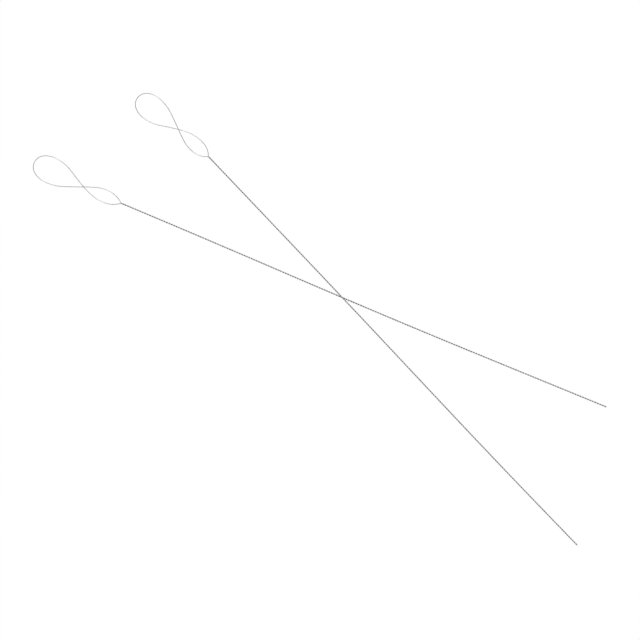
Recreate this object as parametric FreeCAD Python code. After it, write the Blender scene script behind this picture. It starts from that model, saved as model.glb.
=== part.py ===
import FreeCAD, Part
import math
import os

from FreeCAD import Vector

# A pair of wire inoculating loops, one laid across the other on the bench.
#
# Each loop is one fine wire bent double. Its two legs are twisted together into a long stem, and the fold is
# left open as an eye: a small waist at the neck, where the legs cross once more, and then a wide bow.
# The wire is built as five spans that meet face to face: two stem strands, two waist limbs and the bow.
# Sizes are millimetres and degrees. The bench is the plane z = 0, and +Z is up.

# the wire, and how closely its turns and the two loops lie against each other
wire_diameter = 0.22
strand_gap = 0.012
resting_gap = 0.05
flare_length = 0.80

# how the pair lies: the lower stem's direction from its neck, and the upper loop laid across it
lower_heading = -22.77
crossing_angle = 23.73
lower_crossing_station = 75.74
upper_crossing_station = 60.92
arch_reach = 90.0

# lower loop: the stem, measured from the neck, and how far it strays from a straight line
lower_stem_length = 168.3
lower_lay = 1.698
lower_bend = -0.42
lower_sway = 0.10
lower_ripple = 0.05

# lower loop: how the legs are turned at the neck, and how far the twist then runs ahead of an even one
lower_neck_roll = -30.0
lower_lead = 101.0
lower_lead_sway = -7.0
lower_lead_ripple = -1.0

# lower loop: the eye, measured from the neck towards its tip
lower_neck_angle = 36.9
lower_waist_station = 5.79
lower_waist_width = 4.05
lower_eye_crossing_station = 13.25
lower_eye_crossing_angle = 50.6
lower_bow_station = 25.28
lower_bow_width = 8.37
lower_eye_length = 30.87
lower_waist_turn = 0.75
lower_bow_turn = 4.03

# upper loop: the stem
upper_stem_length = 171.3
upper_lay = 1.547
upper_bend = -0.12
upper_sway = 0.15
upper_ripple = -0.04

# upper loop: how the legs are turned at the neck, and its twist, which slackens towards the cut end
upper_neck_roll = -67.0
upper_lead = 418.0
upper_lead_sway = -91.0
upper_lead_ripple = 35.0

# upper loop: the eye
upper_neck_angle = 44.9
upper_waist_station = 5.50
upper_waist_width = 4.39
upper_eye_crossing_station = 13.10
upper_eye_crossing_angle = 52.8
upper_bow_station = 24.43
upper_bow_width = 8.06
upper_eye_length = 29.67
upper_waist_turn = -4.34
upper_bow_turn = -8.43

# what follows from them
strand_radius = (wire_diameter + strand_gap) / 2
stem_diameter = 2 * strand_radius + wire_diameter
low_height = wire_diameter / 2
middle_height = stem_diameter / 2
high_height = stem_diameter - wire_diameter / 2
stations_per_turn = 4


class Station:
    """A point of the wire's centre line and the way the wire runs through it."""

    def __init__(self, point, direction):
        self.point = point
        self.direction = Vector(direction).normalize()

    def reversed(self):
        return Station(self.point, self.direction * -1)


def arc_edge(start, direction, end):
    """The arc from start to end that leaves start in the given direction."""
    chord = end - start
    along = Vector(chord).normalize()
    aside = direction - along * direction.dot(along)
    if aside.Length < 1e-7:
        return Part.LineSegment(start, end).toShape()
    half_turn = math.atan2(aside.Length, direction.dot(along))
    height = chord.Length / 2 * math.tan(half_turn / 2)
    return Part.Arc(start, (start + end) / 2 + aside.normalize() * height, end).toShape()


def arc_pair(first, last):
    """Two tangent arcs that carry the wire from one station to the next."""
    span = last.point - first.point
    both = first.direction + last.direction
    spread = 2 * (1 - first.direction.dot(last.direction))
    if spread > 1e-9:
        reach = (math.sqrt(span.dot(both) ** 2 + spread * span.dot(span)) - span.dot(both)) / spread
    else:
        reach = span.dot(span) / (4 * span.dot(last.direction))
    joint = (first.point + last.point + (first.direction - last.direction) * reach) / 2
    chord = (joint - first.point).normalize()
    joint_direction = chord * (2 * chord.dot(first.direction)) - first.direction
    return [arc_edge(first.point, first.direction, joint), arc_edge(joint, joint_direction, last.point)]


def wire_span(stations):
    """A round wire swept along the stations."""
    edges = []
    for first, last in zip(stations, stations[1:]):
        edges += arc_pair(first, last)
    start = stations[0]
    section = Part.makeCircle(wire_diameter / 2, start.point, start.direction)
    return Part.Wire(edges).makePipe(Part.Face(Part.Wire(section)))


class Loop:
    """One loop in its own frame: the neck at the origin, the stem along +X and the eye on the -X side."""

    def __init__(self, heading, crossing_station, rise, stem, eye):
        self.heading = heading
        self.crossing_station = crossing_station
        self.rise = rise
        self.stem_length, self.lay, self.strays, self.neck_roll, self.leads = stem
        (self.neck_angle, self.waist_station, self.waist_width, self.eye_crossing_station,
         self.eye_crossing_angle, self.bow_station, self.bow_width, self.eye_length,
         self.waist_turn, self.bow_turn) = eye

    def arch(self, x):
        """Height and slope of the arch by which this loop clears the one under it, as a springy wire lies."""
        distance = x - self.crossing_station
        part = 1 - abs(distance) / arch_reach
        if part <= 0:
            return 0.0, 0.0
        height = self.rise * (4 * part ** 3 - 3 * part ** 4)
        slope = -self.rise * 12 * (part ** 2 - part ** 3) / arch_reach
        return height, math.copysign(slope, -distance) if distance < 0 else slope

    def placed(self, point, direction):
        """A station of this loop, lifted onto its arch and laid on the bench with the crossing at the origin."""
        height, slope = self.arch(point.x)
        point = point + Vector(-self.crossing_station, 0, height)
        direction = direction + Vector(0, 0, slope * direction.x)
        turn = FreeCAD.Rotation(Vector(0, 0, 1), self.heading)
        return Station(turn.multVec(point), turn.multVec(direction))

    def wander(self, distance, sizes):
        """A smooth wander and its slope: the sizes are of one, two and three half-waves over the stem."""
        value, slope = 0.0, 0.0
        for waves, size in enumerate(sizes, 1):
            wave = waves * math.pi / self.stem_length
            value += size * math.sin(wave * distance)
            slope += size * wave * math.cos(wave * distance)
        return value, slope

    def strand_station(self, distance, start_phase):
        """A station of a stem strand: a right-handed helix about the stem's gently straying centre line."""
        side, side_slope = self.wander(distance, self.strays)
        lead, lead_slope = self.wander(distance, self.leads)
        rate = 2 * math.pi / self.lay + math.radians(lead_slope)
        phase = start_phase + math.radians(self.neck_roll + lead) + 2 * math.pi * distance / self.lay
        point = Vector(distance, side + strand_radius * math.cos(phase),
                       middle_height + strand_radius * math.sin(phase))
        direction = Vector(1, side_slope - strand_radius * rate * math.sin(phase),
                           strand_radius * rate * math.cos(phase))
        return self.placed(point, direction)

    def stem_strand(self, start_phase):
        steps = max(1, round(stations_per_turn * self.stem_length / self.lay))
        return wire_span([self.strand_station(self.stem_length * step / steps, start_phase)
                          for step in range(steps + 1)])

    def eye_station(self, station, side, height, angle, turn, climb=0.0):
        """A station of the eye, given along and across the eye's own line; the angle is the wire's heading."""
        centre = Vector(0, 0, 0)
        if station > self.eye_crossing_station:
            centre = self.eye_point(self.eye_crossing_station, 0, self.waist_turn, Vector(0, 0, 0), 0)
            point = self.eye_point(station - self.eye_crossing_station, side, turn, centre, height)
        else:
            point = self.eye_point(station, side, turn, centre, height)
        heading = math.radians(angle + turn)
        return self.placed(point, Vector(-math.cos(heading), math.sin(heading), climb))

    def eye_point(self, along, across, turn, centre, height):
        turn = math.radians(turn)
        x = along * math.cos(turn) - across * math.sin(turn)
        y = along * math.sin(turn) + across * math.cos(turn)
        return centre + Vector(-x, y, height)

    def waist_limb(self, side, crossing_height, start_phase):
        """From the neck, round one side of the waist and to the crossing under the bow."""
        neck = self.strand_station(0, start_phase).reversed()
        flare_angle = math.radians(self.neck_angle) / 2 + strand_radius * math.pi / self.lay
        flare = self.eye_station(flare_length * math.cos(flare_angle), side * flare_length * math.sin(flare_angle),
                                 middle_height, side * self.neck_angle, self.waist_turn)
        climb = (crossing_height - middle_height) / self.eye_crossing_station
        widest = self.eye_station(self.waist_station, side * self.waist_width / 2, middle_height, 0,
                                  self.waist_turn, climb)
        return wire_span([neck, flare, widest, self.eye_crossing(-side, crossing_height)])

    def eye_crossing(self, slant, height):
        """Where the two limbs cross, running towards the bow."""
        turn = (self.waist_turn + self.bow_turn) / 2
        station = self.eye_station(self.eye_crossing_station, 0, height, 0, self.waist_turn)
        heading = math.radians(slant * self.eye_crossing_angle / 2 + turn)
        direction = Vector(-math.cos(heading), math.sin(heading), 0)
        return Station(station.point, self.placed(Vector(-self.eye_crossing_station, 0, 0), direction).direction)

    def bow(self):
        """Out from the crossing on the upper limb, round the tip and back under it."""
        half_width = self.bow_width / 2
        return wire_span([
            self.eye_crossing(1, high_height),
            self.eye_station(self.bow_station, half_width, low_height, 0, self.bow_turn),
            self.eye_station(self.eye_length, 0, low_height, -90, self.bow_turn),
            self.eye_station(self.bow_station, -half_width, low_height, -180, self.bow_turn),
            self.eye_crossing(-1, low_height).reversed(),
        ])

    def spans(self):
        under, over = -math.pi / 2, math.pi / 2
        return {
            "stem_strand_a": self.stem_strand(under),
            "stem_strand_b": self.stem_strand(over),
            "waist_limb_a": self.waist_limb(-1, high_height, under),
            "waist_limb_b": self.waist_limb(1, low_height, over),
            "bow": self.bow(),
        }


lower = Loop(lower_heading, lower_crossing_station, 0.0,
             (lower_stem_length, lower_lay, (lower_bend, lower_sway, lower_ripple),
              lower_neck_roll, (lower_lead, lower_lead_sway, lower_lead_ripple)),
             (lower_neck_angle, lower_waist_station, lower_waist_width, lower_eye_crossing_station,
              lower_eye_crossing_angle, lower_bow_station, lower_bow_width, lower_eye_length,
              lower_waist_turn, lower_bow_turn))
upper = Loop(lower_heading - crossing_angle, upper_crossing_station, stem_diameter + resting_gap,
             (upper_stem_length, upper_lay, (upper_bend, upper_sway, upper_ripple),
              upper_neck_roll, (upper_lead, upper_lead_sway, upper_lead_ripple)),
             (upper_neck_angle, upper_waist_station, upper_waist_width, upper_eye_crossing_station,
              upper_eye_crossing_angle, upper_bow_station, upper_bow_width, upper_eye_length,
              upper_waist_turn, upper_bow_turn))

solids = {}
for loop_name, loop in (("lower", lower), ("upper", upper)):
    for span_name, solid in loop.spans().items():
        solids[loop_name + "_" + span_name] = solid

# the origin: on the bench, under the middle of the pair
box = FreeCAD.BoundBox()
for solid in solids.values():
    box.add(solid.optimalBoundingBox(False, False))
to_origin = Vector(-box.Center.x, -box.Center.y, 0)

os.makedirs("parts", exist_ok=True)
for node, solid in solids.items():
    solid.translate(to_origin)
    solid.exportStep("parts/" + node + ".step")
    length = solid.Volume / (math.pi * wire_diameter ** 2 / 4)
    print(node, "wire length %.2f mm" % length, "valid", solid.isValid())
print("crossing at %.3f, %.3f" % (to_origin.x, to_origin.y))
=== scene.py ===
import math

import bmesh
import bpy
from mathutils import Matrix, Vector


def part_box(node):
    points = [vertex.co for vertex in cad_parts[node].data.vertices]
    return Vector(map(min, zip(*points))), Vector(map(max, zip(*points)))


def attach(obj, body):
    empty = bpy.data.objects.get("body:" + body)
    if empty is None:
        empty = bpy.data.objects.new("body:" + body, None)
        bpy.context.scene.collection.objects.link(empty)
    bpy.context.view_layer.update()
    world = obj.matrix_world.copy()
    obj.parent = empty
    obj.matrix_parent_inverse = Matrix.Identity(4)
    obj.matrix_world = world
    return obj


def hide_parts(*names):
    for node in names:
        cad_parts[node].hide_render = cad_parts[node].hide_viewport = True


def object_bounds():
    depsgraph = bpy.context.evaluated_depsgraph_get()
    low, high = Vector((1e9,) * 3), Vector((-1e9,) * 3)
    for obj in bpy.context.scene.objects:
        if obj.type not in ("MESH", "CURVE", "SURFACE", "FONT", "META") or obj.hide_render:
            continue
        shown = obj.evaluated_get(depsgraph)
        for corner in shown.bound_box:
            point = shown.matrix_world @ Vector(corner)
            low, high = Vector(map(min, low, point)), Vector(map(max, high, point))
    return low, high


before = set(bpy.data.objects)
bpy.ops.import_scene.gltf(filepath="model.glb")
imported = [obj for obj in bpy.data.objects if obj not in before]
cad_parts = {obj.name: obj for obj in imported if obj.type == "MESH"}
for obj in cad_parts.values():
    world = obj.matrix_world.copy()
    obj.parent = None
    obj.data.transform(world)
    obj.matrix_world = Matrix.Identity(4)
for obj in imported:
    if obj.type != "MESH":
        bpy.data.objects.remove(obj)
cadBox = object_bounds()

# Two wire loops, one laid across the other. The wire is modelled in millimetres in each loop's own frame,
# with the neck at the origin, the stem along +X and the eye on the -X side, and is laid in its place last.
metresPerMillimetre = 0.001

wire = {
    "radius": 0.11,
    "gap": 0.012,              # between the two limbs where they cross in the eye
    "twistRadius": 0.1125,     # of a strand's centre line round the stem's, with the two all but touching
    "flareLength": 0.80,       # how far the legs spread out of the neck before they curve
    "sides": 16,
    "stepsPerTurn": 24,        # rings in one turn of the twist
    "stepLength": 0.22,        # between rings round the eye
    "fewestSteps": 2,          # round one arc of the eye
    "capBevel": 0.022,         # the rim that the cutter leaves on a cut end
    "capSegments": 2,
    "cutSlant": 14.0,          # degrees off square
}

# heights of the wire's centre line: on the bench, in the stem's middle and over another wire
lowHeight = wire["radius"]
middleHeight = 2 * wire["radius"] + wire["gap"] / 2
highHeight = 3 * wire["radius"] + wire["gap"]
strandOffset = wire["twistRadius"]
# a many-sided ring with as much metal in it as the round wire
sideAngle = 2 * math.pi / wire["sides"]
ringRadius = wire["radius"] * math.sqrt(sideAngle / math.sin(sideAngle))


def station(point, direction):
    # a point of the wire's centre line and the way the wire runs through it
    return Vector(point), Vector(direction).normalized()


def turnedRound(place):
    return place[0], -place[1]


def arcPair(first, last):
    # two tangent arcs from one station to the next, each as start, direction and end
    span = last[0] - first[0]
    both = first[1] + last[1]
    spread = 2 * (1 - first[1].dot(last[1]))
    reach = (math.sqrt(span.dot(both) ** 2 + spread * span.dot(span)) - span.dot(both)) / spread
    joint = (first[0] + last[0] + (first[1] - last[1]) * reach) / 2
    chord = (joint - first[0]).normalized()
    jointDirection = chord * (2 * chord.dot(first[1])) - first[1]
    return [(first[0], first[1], joint), (joint, jointDirection, last[0])]


def wander(loop, distance, sizes):
    # a smooth wander along the stem and its slope; the sizes are of one, two and three half-waves
    value, slope = 0.0, 0.0
    for waves, size in enumerate(sizes, 1):
        wave = waves * math.pi / loop["stemLength"]
        value += size * math.sin(wave * distance)
        slope += size * wave * math.cos(wave * distance)
    return value, slope


def strandNeck(loop, startPhase):
    # where a stem strand leaves the neck
    rate = 2 * math.pi / loop["lay"] + math.radians(wander(loop, 0, loop["leads"])[1])
    phase = startPhase + math.radians(loop["neckRoll"])
    across, up = strandOffset * math.cos(phase), strandOffset * math.sin(phase)
    return station((0, across, middleHeight + up),
                   (1, wander(loop, 0, loop["strays"])[1] - rate * up, rate * across))


def eyeStation(loop, along, across, height, angle, turn, climb=0.0):
    # a place in the eye, along and across the eye's own line, which turns a little at its crossing
    start = Vector((0, 0, 0))
    if along > loop["eyeCrossingStation"]:
        start = eyeStation(loop, loop["eyeCrossingStation"], 0, 0, 0, loop["waistTurn"])[0]
        along -= loop["eyeCrossingStation"]
    line = math.radians(turn)
    offset = Vector((-(along * math.cos(line) - across * math.sin(line)),
                     along * math.sin(line) + across * math.cos(line), height))
    heading = math.radians(angle + turn)
    return station(start + offset, (-math.cos(heading), math.sin(heading), climb))


def eyeCrossing(loop, slant, height):
    # where the two limbs cross, running towards the bow
    place = eyeStation(loop, loop["eyeCrossingStation"], 0, height, 0, loop["waistTurn"])[0]
    heading = math.radians(slant * loop["eyeCrossingAngle"] / 2 + (loop["waistTurn"] + loop["bowTurn"]) / 2)
    return station(place, (-math.cos(heading), math.sin(heading), 0))


def waistStations(loop, side, crossingHeight, startPhase):
    # out of the neck, round one side of the waist and to the crossing under the bow
    flare = wire["flareLength"]
    flareAngle = math.radians(loop["neckAngle"]) / 2 + strandOffset * math.pi / loop["lay"]
    climb = (crossingHeight - middleHeight) / loop["eyeCrossingStation"]
    return [
        turnedRound(strandNeck(loop, startPhase)),
        eyeStation(loop, flare * math.cos(flareAngle), side * flare * math.sin(flareAngle),
                   middleHeight, side * loop["neckAngle"], loop["waistTurn"]),
        eyeStation(loop, loop["waistStation"], side * loop["waistWidth"] / 2,
                   middleHeight, 0, loop["waistTurn"], climb),
        eyeCrossing(loop, -side, crossingHeight),
    ]


def bowStations(loop):
    # out from the crossing on the upper limb, round the tip and back under it
    halfWidth = loop["bowWidth"] / 2
    return [
        eyeCrossing(loop, 1, highHeight),
        eyeStation(loop, loop["bowStation"], halfWidth, lowHeight, 0, loop["bowTurn"]),
        eyeStation(loop, loop["eyeLength"], 0, lowHeight, -90, loop["bowTurn"]),
        eyeStation(loop, loop["bowStation"], -halfWidth, lowHeight, -180, loop["bowTurn"]),
        turnedRound(eyeCrossing(loop, -1, lowHeight)),
    ]


def wireRing(bm, place):
    # the wire's section, square to its run; wirePlace keeps how far along its own span each point is, in mm
    # and less than nothing in the stem, and where it is across the wire, in radii
    placeLayer = bm.verts.layers.float_vector.new("wirePlace")
    bmesh.ops.create_circle(bm, segments=wire["sides"], radius=ringRadius)
    for vert in bm.verts:
        vert[placeLayer] = (0, vert.co.x / ringRadius, vert.co.y / ringRadius)
    matrix = Matrix.Translation(place[0]) @ place[1].to_track_quat("Z", "Y").to_matrix().to_4x4()
    bmesh.ops.transform(bm, matrix=matrix, verts=bm.verts)
    return bm.verts[:] + bm.edges[:]


def spunArc(bm, ring, arc, along):
    # the ring carried round one arc; returns the ring at its end, and how far along the wire that is
    start, direction, end = arc
    chord = end - start
    turn = 2 * direction.angle(chord)
    axis = direction.cross(chord).normalized()
    radius = chord.length / (2 * math.sin(turn / 2))
    centre = start + axis.cross(direction) * radius
    steps = max(wire["fewestSteps"], math.ceil(radius * turn / wire["stepLength"]))
    known = set(bm.verts)
    spun = bmesh.ops.spin(bm, geom=ring, cent=centre, axis=axis, dvec=(0, 0, 0), angle=turn, steps=steps)
    placeLayer = bm.verts.layers.float_vector["wirePlace"]
    outward = (start - centre).normalized()
    for vert in bm.verts:
        if vert not in known:
            arm = vert.co - centre
            swept = math.atan2(arm.dot(axis.cross(outward)), arm.dot(outward)) % (2 * math.pi)
            vert[placeLayer] = (along + radius * swept, *vert[placeLayer][1:])
    return spun["geom_last"], along + radius * turn


def spanAlong(stations):
    # a length of wire through the stations, closed at both ends
    bm = bmesh.new()
    ring, along = wireRing(bm, stations[0]), 0.0
    for first, last in zip(stations, stations[1:]):
        for arc in arcPair(first, last):
            ring, along = spunArc(bm, ring, arc, along)
    bmesh.ops.holes_fill(bm, edges=bm.edges, sides=0)
    return bm


def screwSwept(bm, loop):
    # the section carried along the stem while it turns round the stem's own line
    mesh = bpy.data.meshes.new("section")
    bm.to_mesh(mesh)
    section = bpy.data.objects.new("section", mesh)
    bpy.context.scene.collection.objects.link(section)
    twist = section.modifiers.new("twist", "SCREW")
    turns = loop["stemLength"] / loop["lay"]
    twist.axis, twist.screw_offset, twist.angle = "X", loop["stemLength"], turns * 2 * math.pi
    twist.steps = twist.render_steps = round(turns * wire["stepsPerTurn"])
    bm.clear()
    bm.from_object(section, bpy.context.evaluated_depsgraph_get())
    bpy.data.objects.remove(section)
    bpy.data.meshes.remove(mesh)


def isCap(face):
    # a closed end of the wire, which has a corner for each side; all its other faces are quads
    return len(face.verts) == wire["sides"]


def cutOff(bm):
    # the stem's far end, cut a little off square and with the cutter's rim on it
    cutEnd = max(filter(isCap, bm.faces), key=lambda face: face.calc_center_median().x)
    middle = cutEnd.calc_center_median()
    slant = math.tan(math.radians(wire["cutSlant"]))
    for vert in cutEnd.verts:
        vert.co.x -= (vert.co.y - middle.y + wire["radius"]) * slant
    bmesh.ops.bevel(bm, geom=cutEnd.edges, offset=wire["capBevel"], offset_type="OFFSET",
                    segments=wire["capSegments"], profile=0.5, affect="EDGES", material=-1)


def twistedStrand(loop, startPhase):
    # one leg of the stem: twisted evenly, then turned on to its own uneven twist, and last it strays a little
    bm = bmesh.new()
    rate = 2 * math.pi / loop["lay"]
    across, up = strandOffset * math.cos(startPhase), strandOffset * math.sin(startPhase)
    wireRing(bm, station((0, across, up), (1, -rate * up, rate * across)))
    screwSwept(bm, loop)
    placeLayer = bm.verts.layers.float_vector["wirePlace"]
    wirePerStem = math.hypot(1, strandOffset * rate)
    for vert in bm.verts:
        vert[placeLayer] = (-vert.co.x * wirePerStem, *vert[placeLayer][1:])
        lead = math.radians(loop["neckRoll"] + wander(loop, vert.co.x, loop["leads"])[0])
        vert.co.yz = Matrix.Rotation(lead, 2) @ vert.co.yz
    bmesh.ops.translate(bm, vec=(0, 0, middleHeight), verts=bm.verts)
    bmesh.ops.holes_fill(bm, edges=bm.edges, sides=0)
    cutOff(bm)
    for vert in bm.verts:
        vert.co.y += wander(loop, vert.co.x, loop["strays"])[0]
    return bm


crossing = {
    "rise": 0.502,             # the upper loop's arch where it goes over the lower stem
    "reach": 90.0,             # how far the arch runs to either side
}


def archAt(loop, x):
    # a springy wire's own curve over what it lies across
    part = max(0.0, 1 - abs(x - loop["crossingStation"]) / crossing["reach"])
    return loop["rise"] * (4 * part ** 3 - 3 * part ** 4)


def laidDown(bm, loop, name):
    # onto its arch and round to its heading, with the place where the stems cross at the origin
    for vert in bm.verts:
        vert.co.z += archAt(loop, vert.co.x)
    bmesh.ops.translate(bm, vec=(-loop["crossingStation"], 0, 0), verts=bm.verts)
    bmesh.ops.rotate(bm, cent=(0, 0, 0), matrix=Matrix.Rotation(math.radians(loop["heading"]), 3, "Z"),
                     verts=bm.verts)
    bmesh.ops.scale(bm, vec=(metresPerMillimetre,) * 3, verts=bm.verts)
    bmesh.ops.recalc_face_normals(bm, faces=bm.faces)
    for face in bm.faces:
        face.smooth = not isCap(face)
        if isCap(face):
            for edge in face.edges:
                edge.smooth = False
    mesh = bpy.data.meshes.new(name)
    bm.to_mesh(mesh)
    bm.free()
    piece = bpy.data.objects.new(name, mesh)
    bpy.context.scene.collection.objects.link(piece)
    return piece


def makeLoop(loop, prefix):
    # five spans that meet face to face, and the frame's node that each one stands for
    under, over = -math.pi / 2, math.pi / 2
    spans = {
        "stem_strand_a": twistedStrand(loop, under),
        "stem_strand_b": twistedStrand(loop, over),
        "waist_limb_a": spanAlong(waistStations(loop, -1, highHeight, under)),
        "waist_limb_b": spanAlong(waistStations(loop, 1, lowHeight, over)),
        "bow": spanAlong(bowStations(loop)),
    }
    pieces = {}
    for spanName, bm in spans.items():
        pieces[prefix + "_" + spanName] = laidDown(bm, loop, prefix + "Wire_" + spanName)
    return pieces


# lengths in mm, and stations measured from the neck; angles in degrees
lowerLoop = {
    "body": "lower_loop",
    "heading": -22.77,
    "crossingStation": 75.74,
    "rise": 0.0,
    "stemLength": 168.3,
    "lay": 1.698,                      # the stem's length in one turn of the twist, on average
    "strays": (-0.42, 0.10, 0.05),     # off a straight line, in one, two and three half-waves
    "neckRoll": -30.0,                 # how the legs are turned at the neck
    "leads": (101.0, -7.0, -1.0),      # how far the twist runs ahead of an even one, in half-waves
    "neckAngle": 36.9,
    "waistStation": 5.79,
    "waistWidth": 4.05,
    "eyeCrossingStation": 13.25,
    "eyeCrossingAngle": 50.6,
    "bowStation": 25.28,
    "bowWidth": 8.37,
    "eyeLength": 30.87,
    "waistTurn": 0.75,                 # how far the waist and the bow lean off the stem's line
    "bowTurn": 4.03,
}

upperLoop = {
    "body": "upper_loop",
    "heading": -46.5,
    "crossingStation": 60.92,
    "rise": crossing["rise"],
    "stemLength": 171.3,
    "lay": 1.547,
    "strays": (-0.12, 0.15, -0.04),
    "neckRoll": -67.0,
    "leads": (418.0, -91.0, 35.0),     # its twist slackens towards the cut end
    "neckAngle": 44.9,
    "waistStation": 5.50,
    "waistWidth": 4.39,
    "eyeCrossingStation": 13.10,
    "eyeCrossingAngle": 52.8,
    "bowStation": 24.43,
    "bowWidth": 8.06,
    "eyeLength": 29.67,
    "waistTurn": -4.34,
    "bowTurn": -8.43,
}

wirePieces = {**makeLoop(lowerLoop, "lower"), **makeLoop(upperLoop, "upper")}

# both loops move together, to where the frame has the lower bow
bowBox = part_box("lower_bow")
toPlace = Vector((0, 0, 0))
for side in range(2):
    madeAt = [vert.co[side] for vert in wirePieces["lower_bow"].data.vertices]
    toPlace[side] = (bowBox[0][side] + bowBox[1][side] - min(madeAt) - max(madeAt)) / 2
for piece in wirePieces.values():
    piece.data.transform(Matrix.Translation(toPlace))
faceCount = sum(len(piece.data.polygons) for piece in wirePieces.values())
print("wire: %d pieces, %d faces" % (len(wirePieces), faceCount))


def linear(hexColour):
    # sRGB hex to the linear colour that a node takes
    parts = [int(hexColour[i:i + 2], 16) / 255 for i in (1, 3, 5)]
    return (*[c / 12.92 if c <= 0.04045 else ((c + 0.055) / 1.055) ** 2.4 for c in parts], 1.0)


def addNode(tree, kind, settings=None, inputs=None):
    # one node with its settings; an input is a value, or the output that feeds it
    node = tree.nodes.new(kind)
    for key, value in (settings or {}).items():
        setattr(node, key, value)
    for key, value in (inputs or {}).items():
        if isinstance(value, bpy.types.NodeSocket):
            tree.links.new(value, node.inputs[key])
        else:
            node.inputs[key].default_value = value
    return node


def newMaterial(name):
    material = bpy.data.materials.new(name)
    material.use_nodes = True
    material.node_tree.nodes.clear()
    return material, material.node_tree


drawnWire = {
    "eyeMetal": "#787878",
    "stemMetalPaintedLighter": "#8b8b8b",            # painted light: the same wire painted a little brighter, to lift the shade between the twisted strands
    "paintedLightFrom": 4.0,                 # mm along the stem from the neck before the painted light is full
    "oxide": "#6c6c6c",
    "oxideRange": (0.42, 0.68),        # where the mottle starts to show it, and where it is full
    # how many to a mm, along the wire and across it: spots 2.2 mm long and half the wire's width, and lines
    # 1.1 mm long and 0.017 mm apart, drawn coarser than real ones, which are too fine to show
    "mottle": {"perMm": (0.45, 8.18), "detail": 2.0, "roughness": 0.5},
    "dieLines": {"perMm": (0.88, 60.0), "detail": 3.0, "roughness": 0.6},
    "lineStrength": 0.25,
    "lineDepth": 0.00001,              # metres
    "roughness": (0.14, 0.28),         # least and most, with the lines
}


def drawnNichrome():
    # drawn nichrome wire, flamed and dulled: an even neutral grey, painted lighter along the stem, a soft
    # gleam, fine lines along the wire
    material, tree = newMaterial("drawnNichrome")
    place = addNode(tree, "ShaderNodeAttribute", {"attribute_name": "wirePlace"}).outputs["Vector"]
    noise = {}
    for name in ("dieLines", "mottle"):
        pattern = drawnWire[name]
        along, across = pattern["perMm"][0], pattern["perMm"][1] * wire["radius"]
        stretched = addNode(tree, "ShaderNodeMapping", inputs={
            "Vector": place, "Scale": (along, across, across)})
        noise[name] = addNode(tree, "ShaderNodeTexNoise", inputs={
            "Vector": stretched.outputs[0], "Scale": 1.0, "Detail": pattern["detail"],
            "Roughness": pattern["roughness"]}).outputs["Fac"]
    oxidised = addNode(tree, "ShaderNodeMapRange", inputs={
        "Value": noise["mottle"], "From Min": drawnWire["oxideRange"][0],
        "From Max": drawnWire["oxideRange"][1]})
    placeParts = addNode(tree, "ShaderNodeSeparateXYZ", inputs={"Vector": place})
    # painted light: from the neck on, the stem's grey goes over to a lighter one, which lifts the shade
    # between its twisted strands
    paintedStemLight = addNode(tree, "ShaderNodeMapRange", inputs={
        "Value": placeParts.outputs["X"], "From Min": 0.0, "From Max": -drawnWire["paintedLightFrom"]})
    metal = addNode(tree, "ShaderNodeMix", {"data_type": "RGBA"}, {
        "Factor": paintedStemLight.outputs[0], "A": linear(drawnWire["eyeMetal"]), "B": linear(drawnWire["stemMetalPaintedLighter"])})
    colour = addNode(tree, "ShaderNodeMix", {"data_type": "RGBA"}, {
        "Factor": oxidised.outputs[0], "A": metal.outputs["Result"], "B": linear(drawnWire["oxide"])})
    rough = addNode(tree, "ShaderNodeMapRange", inputs={
        "Value": noise["dieLines"], "To Min": drawnWire["roughness"][0],
        "To Max": drawnWire["roughness"][1]})
    bump = addNode(tree, "ShaderNodeBump", inputs={
        "Height": noise["dieLines"], "Strength": drawnWire["lineStrength"],
        "Distance": drawnWire["lineDepth"]})
    shader = addNode(tree, "ShaderNodeBsdfPrincipled", inputs={
        "Base Color": colour.outputs["Result"], "Metallic": 1.0, "Roughness": rough.outputs[0],
        "Normal": bump.outputs[0]})
    addNode(tree, "ShaderNodeOutputMaterial", inputs={"Surface": shader.outputs[0]})
    return material


wireMaterial = drawnNichrome()
for node, piece in wirePieces.items():
    piece.data.materials.append(wireMaterial)
    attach(piece, lowerLoop["body"] if node.startswith("lower") else upperLoop["body"])
    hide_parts(node)
print("materials: on")


def seenShare(tree, share):
    # share for rays that the camera or a shiny surface sends, nothing for the rest
    path = addNode(tree, "ShaderNodeLightPath")
    first = addNode(tree, "ShaderNodeMath", {"operation": "MAXIMUM"}, {
        0: path.outputs["Is Camera Ray"], 1: path.outputs["Is Glossy Ray"]})
    seen = addNode(tree, "ShaderNodeMath", {"operation": "MAXIMUM"}, {
        0: first.outputs[0], 1: path.outputs["Is Transmission Ray"]})
    part = addNode(tree, "ShaderNodeMath", {"operation": "MULTIPLY"}, {0: seen.outputs[0], 1: share})
    return part.outputs[0]


bench = {
    "size": 3.0,               # metres
    "colour": "#fafafa",
    "ownWhite": 0.94,          # the share of the bench's white that its shadows leave alone
}


def makeBench():
    bm = bmesh.new()
    bmesh.ops.create_grid(bm, x_segments=1, y_segments=1, size=bench["size"] / 2)
    mesh = bpy.data.meshes.new("benchTop")
    bm.to_mesh(mesh)
    bm.free()
    floor = bpy.data.objects.new("benchTop", mesh)
    bpy.context.scene.collection.objects.link(floor)
    # matt white laminate: it keeps a faint shadow of the wire
    material, tree = newMaterial("whiteLaminate")
    matt = addNode(tree, "ShaderNodeBsdfDiffuse", inputs={"Color": linear(bench["colour"])})
    white = addNode(tree, "ShaderNodeEmission", inputs={"Strength": 1.0})
    mix = addNode(tree, "ShaderNodeMixShader", inputs={
        0: seenShare(tree, bench["ownWhite"]), 1: matt.outputs[0], 2: white.outputs[0]})
    addNode(tree, "ShaderNodeOutputMaterial", inputs={"Surface": mix.outputs[0]})
    mesh.materials.append(material)


room = {
    "light": 0.42,             # the soft light that falls on the wire and the bench
    "white": 1.0,              # what the camera sees round the bench, and the metal reflects
}


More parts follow.
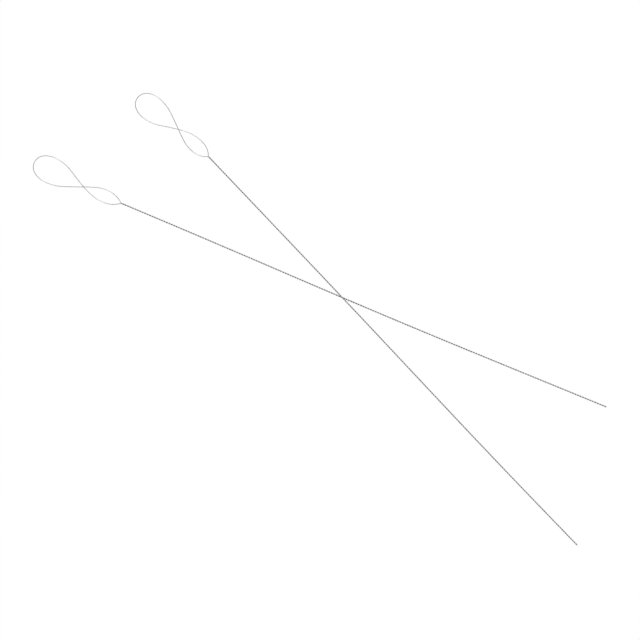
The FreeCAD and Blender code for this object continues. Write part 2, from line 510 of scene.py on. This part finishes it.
def makeWorld():
    world = bpy.data.worlds.new("studio")
    bpy.context.scene.world = world
    world.use_nodes = True
    tree = world.node_tree
    tree.nodes.clear()
    colour = (1, 1, 1, 1)
    soft = addNode(tree, "ShaderNodeBackground", inputs={"Color": colour, "Strength": room["light"]})
    white = addNode(tree, "ShaderNodeBackground", inputs={"Color": colour, "Strength": room["white"]})
    mix = addNode(tree, "ShaderNodeMixShader", inputs={
        0: seenShare(tree, 1.0), 1: soft.outputs[0], 2: white.outputs[0]})
    addNode(tree, "ShaderNodeOutputWorld", inputs={"Surface": mix.outputs[0]})


# lengths in metres
strip = {
    "over": (-0.144, 0.070),
    "height": 1.50,
    "length": 5.00,
    "width": 0.34,
    "azimuth": 63.0,
    "radiance": 6.8,
}


def makeStripLight():
    # a long softbox over the bench: wire that runs across it gleams along its whole top
    light = bpy.data.lights.new("stripSoftbox", "AREA")
    light.shape = "RECTANGLE"
    light.size, light.size_y = strip["length"], strip["width"]
    light.energy = strip["radiance"] * math.pi * strip["length"] * strip["width"]
    lamp = bpy.data.objects.new("stripSoftbox", light)
    lamp.location = (*strip["over"], strip["height"])
    lamp.rotation_euler = (0, 0, math.radians(strip["azimuth"]))
    lamp.visible_camera = False
    bpy.context.scene.collection.objects.link(lamp)


view = {
    "lens": 300.0,
    "sensor": 36.0,
    "fieldWidth": 0.2048,              # metres of the bench from edge to edge
    "aim": (0.000045, -0.00024),       # off the middle of the pair
}


def makeCamera():
    # straight down, as far up as the lens needs
    centre = (cadBox[0] + cadBox[1]) / 2
    camera = bpy.data.cameras.new("camera")
    camera.lens, camera.sensor_width = view["lens"], view["sensor"]
    height = view["fieldWidth"] * view["lens"] / view["sensor"]
    viewer = bpy.data.objects.new("camera", camera)
    viewer.location = (centre.x + view["aim"][0], centre.y + view["aim"][1], height)
    bpy.context.scene.collection.objects.link(viewer)
    bpy.context.scene.camera = viewer


makeBench()
makeWorld()
makeStripLight()
makeCamera()
bpy.context.scene.view_settings.view_transform = "Standard"
print("floor, light and camera: in place")
